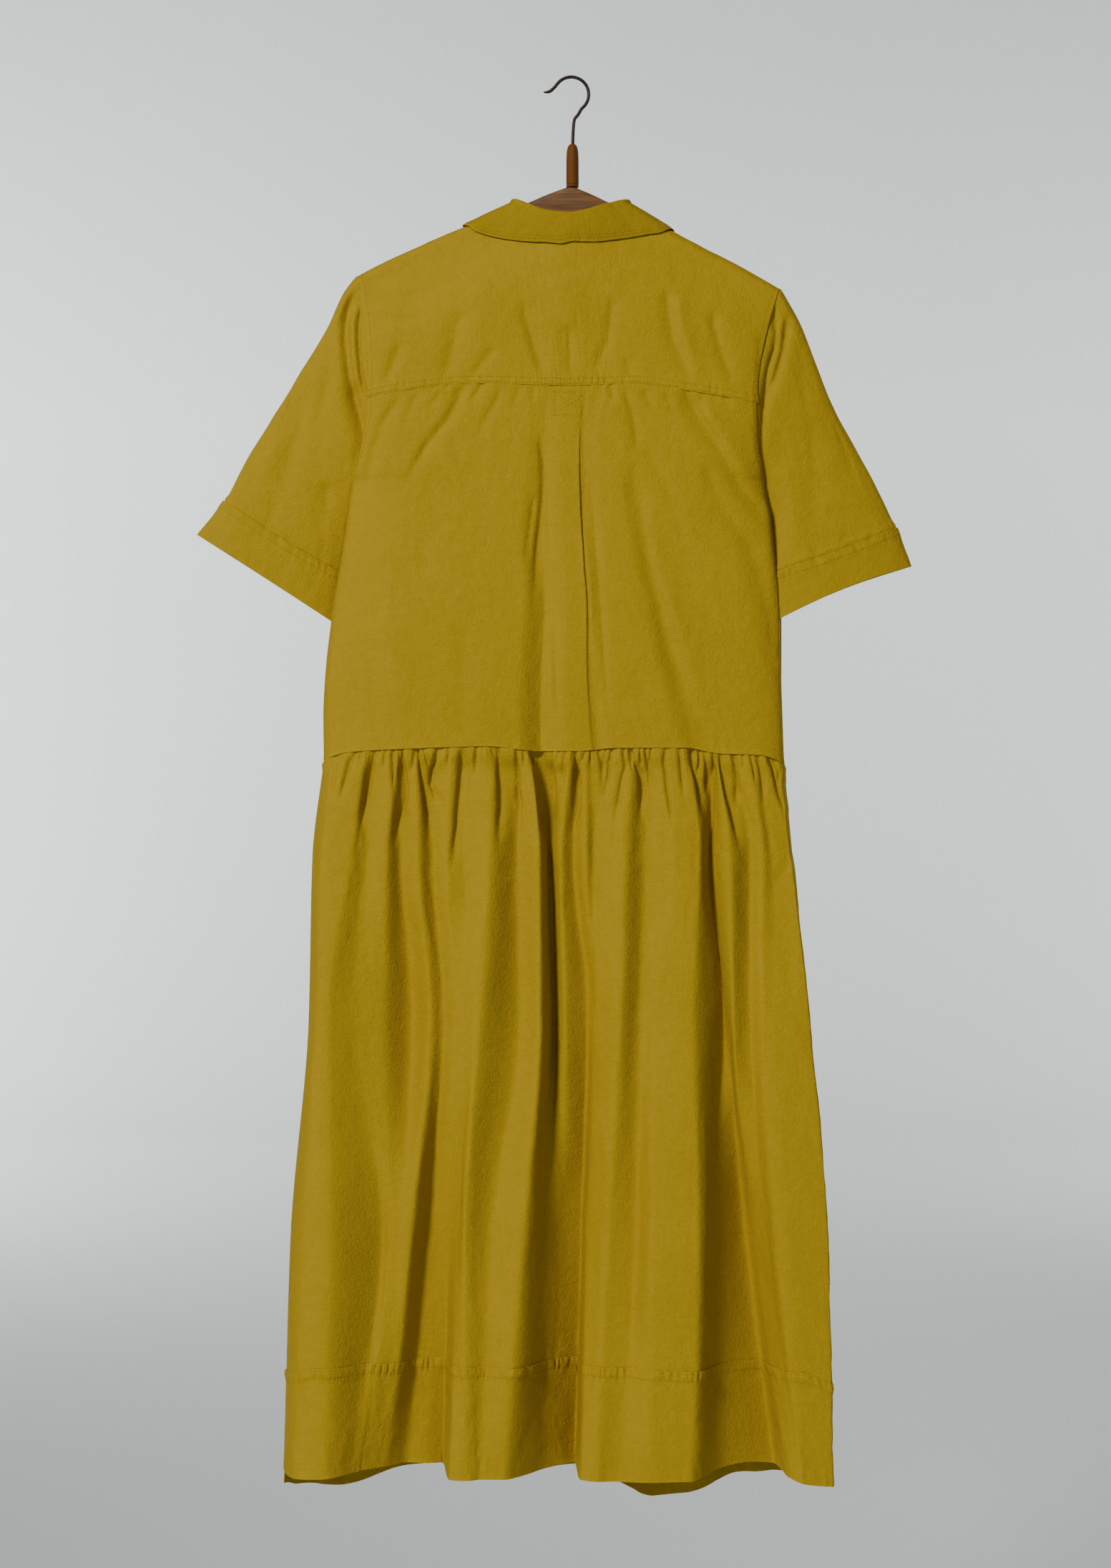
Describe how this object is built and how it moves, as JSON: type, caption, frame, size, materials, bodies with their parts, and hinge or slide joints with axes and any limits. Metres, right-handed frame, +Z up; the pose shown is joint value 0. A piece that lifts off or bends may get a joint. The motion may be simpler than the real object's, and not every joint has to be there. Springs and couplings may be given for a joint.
{
  "type": "shirt dress on a hanger",
  "caption": "Short-sleeved midi shirt dress with a collar, a back yoke, a box pleat and a gathered skirt, hung on a wooden hanger with a wire hook.",
  "frame": {"origin": "inside top of the hanger hook's bow, where a nail or rail bears", "axes": "+Z up, +Y towards the dress's buttoned front, +X towards the wearer's right; the back faces -Y"},
  "size_m": [0.6825, 0.1296, 1.3575],
  "materials": {
    "cotton": "washed plain-weave cotton, mustard",
    "button": "polished, horn colour",
    "walnut": "satin varnish, dark brown",
    "stem": "satin varnish, orange brown",
    "wire": "black iron, satin"
  },
  "bodies": {
    "root": {"yoke": "cotton", "back_panel": "cotton", "front_left": "cotton", "front_right": "cotton", "button_placket": "cotton", "collar_stand": "cotton", "collar": "cotton", "sleeve_left": "cotton", "sleeve_right": "cotton", "cuff_left": "cotton", "cuff_right": "cotton", "skirt_back": "cotton", "skirt_front": "cotton", "hem_band_back": "cotton", "hem_band_front": "cotton", "button_1": "button", "button_2": "button", "button_3": "button", "button_4": "button", "button_5": "button", "button_6": "button", "button_7": "button", "hanger_board": "walnut", "hanger_stem": "stem", "hanger_hook": "wire"}
  },
  "joints": []
}
